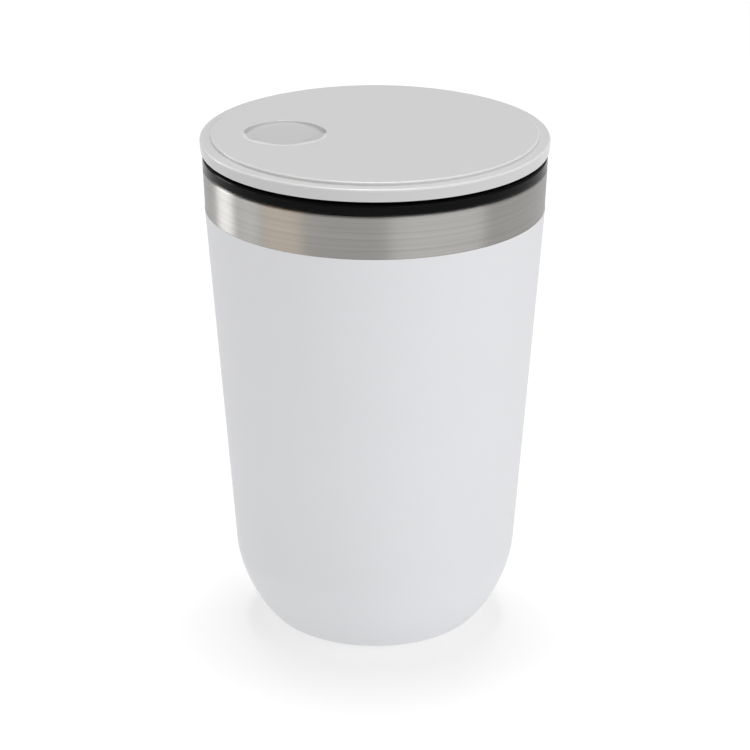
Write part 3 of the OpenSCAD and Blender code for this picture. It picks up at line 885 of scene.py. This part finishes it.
class TUMBLER_OT_cover(bpy.types.Operator):
    """Light grey cover with its raised middle, skirt and finger dish"""

    bl_idname = "tumbler.cover"
    bl_label = "Cover"

    def execute(self, context):
        size = context.scene.tumbler_lid
        steps = size.turns
        crown, edge = top("lid_cover"), reach("lid_cover")
        ring = crown - size.step
        skirt = crown - 4.2 * MM
        under = crown - size.cover_sheet
        # The outside, from the raised middle down the skirt and in under the top.
        corners = [
            (size.plateau - 3 * MM, crown), (size.plateau, crown, 0.45 * MM),
            (size.plateau, ring, 0.12 * MM), (edge, ring, 0.6 * MM),
            (edge - 0.3 * MM, skirt, 0.5 * MM), (edge - 1.8 * MM, skirt, 0.2 * MM),
            (edge - 1.8 * MM, skirt + 1.2 * MM, 0.4 * MM),
            (size.plateau - 0.4 * MM, under, 0.6 * MM), (size.plateau - 3 * MM, under),
        ]
        shell = turned(corners, closed=False)

        # The dish, turned about its own centre: a steep wall at the back morphed to a ramp in front.
        centre = (-size.dish_away, -size.dish_front)
        rim = size.dish + size.dish_deep * math.tan(size.dish_draft)
        mouth = size.ramp - size.ramp_round * math.tan(size.ramp_slope / 2)
        foot = mouth - size.dish_deep / math.tan(size.ramp_slope)
        flare = size.ramp + 1.5 * MM
        wall = 1.5 * MM
        # Sine of the turn where the ramp starts to take over from the wall, and over how much.
        ramp_from, ramp_over = 0.12, 0.4

        def dish_side(back, front, floor, start):
            """Loft round the dish, from the back profile to the front one, with the sloped floor."""
            ends = [
                rounded([(0.0, floor), *corners, (flare, start)], 12)
                for corners in (back, front)
            ]
            bm = bmesh.new()
            hub = bm.verts.new((*centre, floor))
            columns = []
            for k in range(steps):
                turn = math.tau * k / steps
                share = ease((ramp_from - math.sin(turn)) / ramp_over)
                column = []
                for point, other in zip(ends[0][1:], ends[1][1:]):
                    away, z = point.lerp(other, share)
                    rise = max(away * math.sin(turn), 0.0) * math.tan(size.dish_tilt)
                    z += rise * ease((start - z) / (start - floor))
                    x, y = centre[0] + away * math.cos(turn), centre[1] + away * math.sin(turn)
                    column.append(bm.verts.new((x, y, z)))
                columns.append(column)
            for column, following in zip(columns, columns[1:] + columns[:1]):
                bm.faces.new((hub, column[0], following[0]))
                for k in range(len(column) - 1):
                    bm.faces.new((column[k], column[k + 1], following[k + 1], following[k]))
            return bm

        floor = crown - size.dish_deep
        dish = dish_side(
            [(size.dish, floor, 0.6 * MM), (rim, crown, size.lip_back)],
            [(foot, floor, 2.0 * MM), (mouth, crown, size.ramp_round)],
            floor, crown,
        )
        outer = size.dish + wall
        bump = dish_side(
            [(outer, floor - wall, 0.4 * MM), (outer + 0.2 * MM, under, 0.3 * MM)],
            [(foot + 0.6 * MM, floor - wall, 0.5 * MM), (size.ramp, under, 0.3 * MM)],
            floor - wall, under,
        )

        join_into(shell, dish)
        join_into(shell, bump)
        for height in (crown, under):
            outer = ring_of(shell, height, size.plateau - 3 * MM, (0.0, 0.0))
            inner = ring_of(shell, height, flare, centre)
            for k in range(steps):
                ahead = (k + 1) % steps
                shell.faces.new((outer[k], outer[ahead], inner[ahead], inner[k]))
        bmesh.ops.recalc_face_normals(shell, faces=shell.faces[:])

        boss_foot = top("cam_carrier")
        away = Vector((across("cover_screw_a"), 0.0, 0.0))
        for spin in thirds():
            spot = spin @ away
            boss = turned(
                [
                    (0.0, under - 0.02 * MM), (1.1 * MM, under - 0.02 * MM),
                    (1.1 * MM, boss_foot, 0.1 * MM), (3 * MM, boss_foot, 0.2 * MM),
                    (3 * MM, under + 0.05 * MM), (0.0, under + 0.05 * MM),
                ],
                False, 48, (spot.x, spot.y),
            )
            join_into(shell, boss)
        finished("turning_cover", shell, "cover", "lid_cover", "cover_grey")
        return {"FINISHED"}


def crossed_screw(head, head_top, shank, shank_top, recess, centre=(0.0, 0.0)):
    """Pan-head screw, head down, with a cross recess, as a bmesh."""
    thick = 1.2 * MM if head < 3 * MM else 1.4 * MM
    body = turned(
        [
            (0.0, head_top - thick), (head, head_top - thick, thick * 0.45),
            (head, head_top, 0.08 * MM), (shank, head_top), (shank, shank_top, 0.2 * MM),
            (0.0, shank_top),
        ],
        False, 48, centre,
    )
    x, y = centre
    foot = head_top - thick - 0.4 * MM
    deep = head_top - thick * 0.5
    arm = head * 0.6
    cutters = [
        block((x - arm, y - recess, foot), (x + arm, y + recess, deep), recess * 0.4),
        block((x - recess, y - arm, foot), (x + recess, y + arm, deep), recess * 0.4),
    ]
    return cut(body, cutters)


class TUMBLER_OT_cam(bpy.types.Operator):
    """Cam carrier with its arms and slots, its screws and the ring that holds it in the hub"""

    bl_idname = "tumbler.cam"
    bl_label = "Cam carrier"

    def execute(self, context):
        barrel, bore = 8.0 * MM, 5.02 * MM
        foot = low("cam_carrier")
        plate_top = top("cam_carrier")
        plate = plate_top - 1.6 * MM
        groove = low("retaining_ring")
        corners = [
            (bore, foot, 0.2 * MM), (barrel, foot, 0.3 * MM), (barrel, groove),
            (barrel - 0.8 * MM, groove), (barrel - 0.8 * MM, groove + 0.7 * MM),
            (barrel, groove + 0.7 * MM), (barrel, plate, 0.2 * MM), (10.4 * MM, plate, 0.2 * MM),
            (10.4 * MM, plate_top, 0.3 * MM), (0.0, plate_top),
        ]
        roof = [(0.0, plate - 0.4 * MM), (bore, plate - 0.4 * MM, 0.3 * MM)]
        carrier = turned(roof + corners, False, 96)

        # The slots: the pin's path in short straight steps, each between two turned positions.
        slot_steps = 12
        pin_low, pin_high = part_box("cross_pin")
        pin = (pin_high.x - pin_low.x) / 2 + 0.08 * MM
        middle = (pin_high.z + pin_low.z) / 2
        turn = frame["joints"][1]["range_deg"][1]
        drop = frame["joints"][2]["range_m"][1]
        cutters = []
        for side in (-1, 1):
            for step in range(slot_steps):
                path = bmesh.new()
                for k in (step, step + 1):
                    place = (
                        Matrix.Rotation(-math.radians(turn * k / slot_steps), 4, "Z")
                        @ Matrix.Translation(
                            (0.0, side * (barrel - 1 * MM), middle - drop * k / slot_steps)
                        )
                        @ Matrix.Rotation(math.pi / 2, 4, "X")
                    )
                    bmesh.ops.create_cone(
                        path, cap_ends=True, segments=24, radius1=pin, radius2=pin,
                        depth=5 * MM, matrix=place,
                    )
                cutters.append(hulled(path))
        carrier = cut(carrier, cutters)

        away = across("cover_screw_a")
        for spin in thirds():
            arm = block((9 * MM, -4 * MM, plate), (away, 4 * MM, plate_top), 0.3 * MM)
            end = tube(0.0, 4 * MM, plate, plate_top, 0, 0.3, 0.3, 0)
            join_into(arm, turned(end, False, 48, (away, 0.0)))
            arm = hulled(arm)
            bmesh.ops.rotate(arm, cent=(0, 0, 0), matrix=spin, verts=arm.verts[:])
            join_into(carrier, arm)
        finished("cam_plate", carrier, "cover", "cam_carrier", "satin_black")

        for spin, letter in zip(thirds(), "abc"):
            spot = spin @ Vector((away, 0.0, 0.0))
            node = f"cover_screw_{letter}"
            screw = crossed_screw(
                2.2 * MM, low(node) + 1.2 * MM, 1.1 * MM, top(node), 0.3 * MM, (spot.x, spot.y)
            )
            finished(f"plate_screw_{letter}", screw, "cover", node, "fastener_steel")

        clip = turned(above(groove, (7.2, 0), (9.6, 0, 0.1), (9.6, 0.7, 0.1), (7.2, 0.7)), steps=96)
        low_corner = (4 * MM, -1.2 * MM, groove - 1 * MM)
        gap = block(low_corner, (12 * MM, 1.2 * MM, groove + 2 * MM), 0.1 * MM)
        finished("snap_clip", cut(clip, [gap]), "cover", "retaining_ring", "fastener_steel")
        return {"FINISHED"}


class TUMBLER_OT_valve(bpy.types.Operator):
    """Valve: stem, cross pin, O-ring, disc, seal and screw"""

    bl_idname = "tumbler.valve"
    bl_label = "Valve"

    def execute(self, context):
        foot, head = low("valve_stem"), top("valve_stem")
        stem, ring_low = 4.95 * MM, low("stem_oring") - 0.42 * MM
        corners = [
            (1.5 * MM, foot, 0.1 * MM), (8 * MM, foot), (8 * MM, foot + 1.2 * MM, 0.3 * MM),
            (stem, foot + 1.2 * MM, 0.4 * MM), (stem, ring_low, 0.1 * MM),
            (4.22 * MM, ring_low, 0.1 * MM), (4.22 * MM, ring_low + 1.6 * MM, 0.1 * MM),
            (stem, ring_low + 1.6 * MM, 0.1 * MM), (stem, head, 0.6 * MM), (0.0, head),
        ]
        bore = [(0.0, foot + 8 * MM), (1.5 * MM, foot + 8 * MM, 0.2 * MM)]
        finished("stem", turned(bore + corners, False, 96), "valve", "valve_stem", "washer_plastic")

        pin_low, pin_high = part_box("cross_pin")
        thick = (pin_high.x - pin_low.x) / 2
        half = (pin_high.y - pin_low.y) / 2
        pin = turned(tube(0.0, thick, -half, half, 0, 0.2, 0.2, 0), False, 32)
        lift = Matrix.Translation((0.0, 0.0, (pin_low.z + pin_high.z) / 2))
        lay = lift @ Matrix.Rotation(math.pi / 2, 4, "X")
        bmesh.ops.transform(pin, matrix=lay, verts=pin.verts[:])
        finished("drive_pin", pin, "valve", "cross_pin", "fastener_steel")

        middle = (low("stem_oring") + top("stem_oring")) / 2
        ring, cord = 4.6 * MM, 0.38 * MM
        near_round = [0.3762] * 4
        corners = tube(ring - cord, ring + cord, middle - cord, middle + cord, *near_round)
        finished("stem_ring", turned(corners, steps=96), "valve", "stem_oring", "seal_silicone")

        deck, edge = top("valve_disc"), reach("valve_disc") / MM
        corners = above(
            deck, (1.7, 0, 0.1), (edge - 0.4, 0, 0.4), (edge, -0.3, 0.05), (17.2, -0.3),
            (17.2, -1.5), (edge, -1.5, 0.05), (edge - 0.6, -2.2, 0.5), (12, -2.2, 0.3),
            (11.4, -2, 0.3), (8.2, -2, 0.3), (7.6, -2.2, 0.3), (5, -2.2, 0.2), (4.4, -1.6, 0.2),
            (1.7, -1.6, 0.05),
        )
        finished("valve_plate", turned(corners, steps=128), "valve", "valve_disc", "satin_black")

        lip = reach("valve_seal") / MM
        corners = above(
            deck, (17.2, -0.3), (18.9, -0.3, 0.3), (lip, -0.7, 0.15), (lip, -1.1, 0.15),
            (18.9, -1.5, 0.3), (17.2, -1.5),
        )
        finished("valve_ring", turned(corners, steps=128), "valve", "valve_seal", "seal_silicone")

        node = "valve_screw"
        screw = crossed_screw(3.4 * MM, low(node) + 1.4 * MM, 1.5 * MM, top(node), 0.4 * MM)
        finished("disc_screw", screw, "valve", "valve_screw", "fastener_steel")
        return {"FINISHED"}


class TUMBLER_OT_stage(bpy.types.Operator):
    """Pale floor, soft lights and the camera"""

    bl_idname = "tumbler.stage"
    bl_label = "Stage"

    def execute(self, context):
        scene = context.scene
        size = scene.tumbler_stage
        # The floor is a light table: part of its white comes from below.
        skin = Skin("pale_floor", Roughness=0.9, Specular_IOR_Level=0.2, Emission_Strength=0.52)
        speck = skin.noise(skin.place, 900.0, 2.0, 0.5)
        tone = tuple(scene.tumbler_finishes.floor)
        skin.feed("Base Color", skin.blend(speck, shade(tone, 0.995), shade(tone, 1.005)))
        skin.feed("Emission Color", skin.blend(speck, (0.995, 0.995, 0.995), (1.0, 1.0, 1.0)))
        bm = bmesh.new()
        bmesh.ops.create_grid(bm, x_segments=1, y_segments=1, size=6.0)
        floor = placed("floor", bm)
        floor.data.materials.append(skin.material)

        world = bpy.data.worlds.new("studio")
        world.use_nodes = True
        glow = world.node_tree.nodes["Background"]
        glow.inputs["Color"].default_value = (1.0, 1.0, 1.0, 1.0)
        glow.inputs["Strength"].default_value = 0.41
        scene.world = world

        def softbox(name, azimuth, elevation, away, wide, tall, power, warm=1.0, glint=False):
            """Area light aimed at the cup, its azimuth from the camera's; a glint only reflects."""
            lamp = bpy.data.lights.new(name, "AREA")
            lamp.shape = "RECTANGLE"
            lamp.size, lamp.size_y = wide, tall
            lamp.energy = power
            lamp.color = (1.0, 0.5 + warm / 2, warm)
            holder = bpy.data.objects.new(name, lamp)
            turn, lift = math.radians(azimuth), math.radians(elevation)
            aim = Vector((0.0, 0.0, size.middle))
            holder.location = aim + away * Vector(
                (math.sin(turn) * math.cos(lift), -math.cos(turn) * math.cos(lift), math.sin(lift))
            )
            holder.rotation_euler = (aim - holder.location).to_track_quat("-Z", "Y").to_euler()
            holder.visible_diffuse = not glint
            scene.collection.objects.link(holder)

        softbox("overhead", 180, 84, 1.3, 0.5, 0.5, 11.0)
        softbox("right_key", 43, 20, 1.2, 1.5, 0.8, 5.0)
        softbox("left_strip", -114, 12, 0.9, 0.30, 0.32, 1.9, glint=True)
        softbox("left_card", -88, 10, 1.0, 0.3, 0.3, 0.6)
        softbox("left_warm", -62, 10, 1.0, 0.5, 0.3, 1.0, 0.35, glint=True)

        camera_data = bpy.data.cameras.new("camera")
        camera_data.lens = size.lens
        camera_data.sensor_width = 36.0
        camera_data.clip_start = 0.05
        camera = bpy.data.objects.new("camera", camera_data)
        camera.location = (
            0.0,
            -size.distance * math.cos(size.elevation),
            size.middle + size.distance * math.sin(size.elevation),
        )
        look = Vector((0.0, 0.0, size.aim)) - camera.location
        camera.rotation_euler = look.to_track_quat("-Z", "Y").to_euler()
        scene.collection.objects.link(camera)
        scene.camera = camera
        scene.view_settings.view_transform = "Standard"
        return {"FINISHED"}


OPERATORS = (
    TUMBLER_OT_shell,
    TUMBLER_OT_coat,
    TUMBLER_OT_liner,
    TUMBLER_OT_foot,
    TUMBLER_OT_plug,
    TUMBLER_OT_cover,
    TUMBLER_OT_cam,
    TUMBLER_OT_valve,
    TUMBLER_OT_stage,
)
GROUPS = {
    "tumbler_cup": CupSizes,
    "tumbler_lid": LidSizes,
    "tumbler_finishes": Finishes,
    "tumbler_stage": StageSizes,
}


class TUMBLER_PT_panel(bpy.types.Panel):
    """Lists the tumbler's pieces and sizes"""

    bl_idname = "TUMBLER_PT_panel"
    bl_label = "Travel tumbler"
    bl_space_type = "VIEW_3D"
    bl_region_type = "UI"
    bl_category = "Tumbler"

    def draw(self, context):
        for operator in OPERATORS:
            self.layout.operator(operator.bl_idname)
        for name, group in GROUPS.items():
            box = self.layout.box()
            for key in group.__annotations__:
                box.prop(getattr(context.scene, name), key)


def register():
    for group in GROUPS.values():
        bpy.utils.register_class(group)
    for name, group in GROUPS.items():
        setattr(bpy.types.Scene, name, PointerProperty(type=group))
    for operator in OPERATORS:
        bpy.utils.register_class(operator)
    bpy.utils.register_class(TUMBLER_PT_panel)


def unregister():
    bpy.utils.unregister_class(TUMBLER_PT_panel)
    for operator in reversed(OPERATORS):
        bpy.utils.unregister_class(operator)
    for name in GROUPS:
        delattr(bpy.types.Scene, name)
    for group in reversed(list(GROUPS.values())):
        bpy.utils.unregister_class(group)


def main():
    register()
    bpy.ops.tumbler.shell()
    bpy.ops.tumbler.coat()
    bpy.ops.tumbler.liner()
    bpy.ops.tumbler.foot()
    bpy.ops.tumbler.plug()
    bpy.ops.tumbler.cover()
    bpy.ops.tumbler.cam()
    bpy.ops.tumbler.valve()
    bpy.ops.tumbler.stage()


if __name__ == "__main__":
    main()
